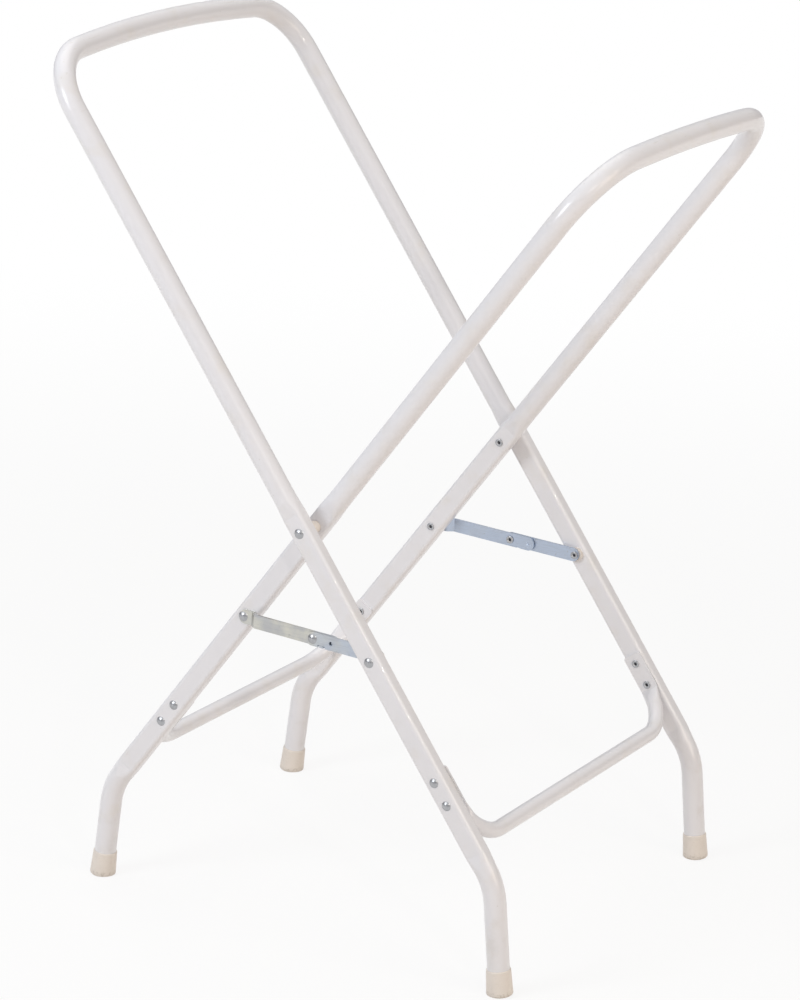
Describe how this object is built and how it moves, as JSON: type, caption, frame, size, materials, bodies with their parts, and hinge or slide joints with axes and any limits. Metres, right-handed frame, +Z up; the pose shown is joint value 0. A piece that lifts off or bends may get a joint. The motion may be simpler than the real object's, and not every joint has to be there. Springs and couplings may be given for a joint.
{
  "type": "baby bath stand",
  "caption": "Folding baby bath stand: crossed tube frames pivoted at mid height, jointed locking stays, bowed top bars that carry the tub, capped feet.",
  "frame": {"origin": "middle of the bounding box in plan, on the floor", "axes": "+Z up; the pivot line and the top bars lie along Y; +X is the side that the feet of the wider frame stand on"},
  "size_m": [0.6972, 0.5136, 0.9692],
  "materials": {
    "white_lacquer": "gloss white lacquer",
    "zinc_strip": "zinc plated, satin",
    "rivet_steel": "bright plated",
    "cap_plastic": "cream, satin",
    "spacer_plastic": "cream, satin"
  },
  "bodies": {
    "outer_frame": {"outer_frame_tube": "white_lacquer", "outer_cross_tube": "white_lacquer", "outer_right_foot_cap": "cap_plastic", "right_pivot_rivet": "rivet_steel", "right_pivot_spacer": "spacer_plastic", "right_outer_stay_rivet": "rivet_steel", "right_stay_washer": "spacer_plastic", "outer_right_strap_rivets": "rivet_steel", "outer_left_foot_cap": "cap_plastic", "left_pivot_rivet": "rivet_steel", "left_pivot_spacer": "spacer_plastic", "left_outer_stay_rivet": "rivet_steel", "left_stay_washer": "spacer_plastic", "outer_left_strap_rivets": "rivet_steel"},
    "inner_frame": {"inner_frame_tube": "white_lacquer", "inner_cross_tube": "white_lacquer", "inner_right_foot_cap": "cap_plastic", "right_inner_stay_rivet_tail": "rivet_steel", "inner_right_strap_rivets": "rivet_steel", "inner_left_foot_cap": "cap_plastic", "left_inner_stay_rivet_tail": "rivet_steel", "inner_left_strap_rivets": "rivet_steel"},
    "right_short_stay": {"right_short_stay": "zinc_strip", "right_knee_rivet": "rivet_steel"},
    "right_long_stay": {"right_long_stay": "zinc_strip", "right_inner_stay_rivet_head": "rivet_steel"},
    "left_short_stay": {"left_short_stay": "zinc_strip", "left_knee_rivet": "rivet_steel"},
    "left_long_stay": {"left_long_stay": "zinc_strip", "left_inner_stay_rivet_head": "rivet_steel"}
  },
  "joints": [
    {"name": "fold", "type": "hinge", "parent": "outer_frame", "child": "inner_frame", "pos_m": [0.01528, 0, 0.473], "axis": [0, -1, 0], "range_deg": [0, 68]},
    {"name": "right_short_stay_turn", "type": "hinge", "parent": "outer_frame", "child": "right_short_stay", "pos_m": [0.10815, -0.22755, 0.34518], "axis": [0, -1, 0], "range_deg": [0, 123.2]},
    {"name": "right_knee_turn", "type": "hinge", "parent": "right_short_stay", "child": "right_long_stay", "pos_m": [0.02322, -0.226, 0.349], "axis": [0, 1, 0], "range_deg": [0, 173.3]},
    {"name": "left_short_stay_turn", "type": "hinge", "parent": "outer_frame", "child": "left_short_stay", "pos_m": [0.10815, 0.22755, 0.34518], "axis": [0, -1, 0], "range_deg": [0, 123.2]},
    {"name": "left_knee_turn", "type": "hinge", "parent": "left_short_stay", "child": "left_long_stay", "pos_m": [0.02322, 0.226, 0.349], "axis": [0, 1, 0], "range_deg": [0, 173.3]}
  ],
  "couplings": [
    {"joint": "right_short_stay_turn", "follows": "fold", "ratio": 1.8104},
    {"joint": "right_knee_turn", "follows": "fold", "ratio": 2.5469},
    {"joint": "left_short_stay_turn", "follows": "fold", "ratio": 1.8104},
    {"joint": "left_knee_turn", "follows": "fold", "ratio": 2.5469}
  ]
}
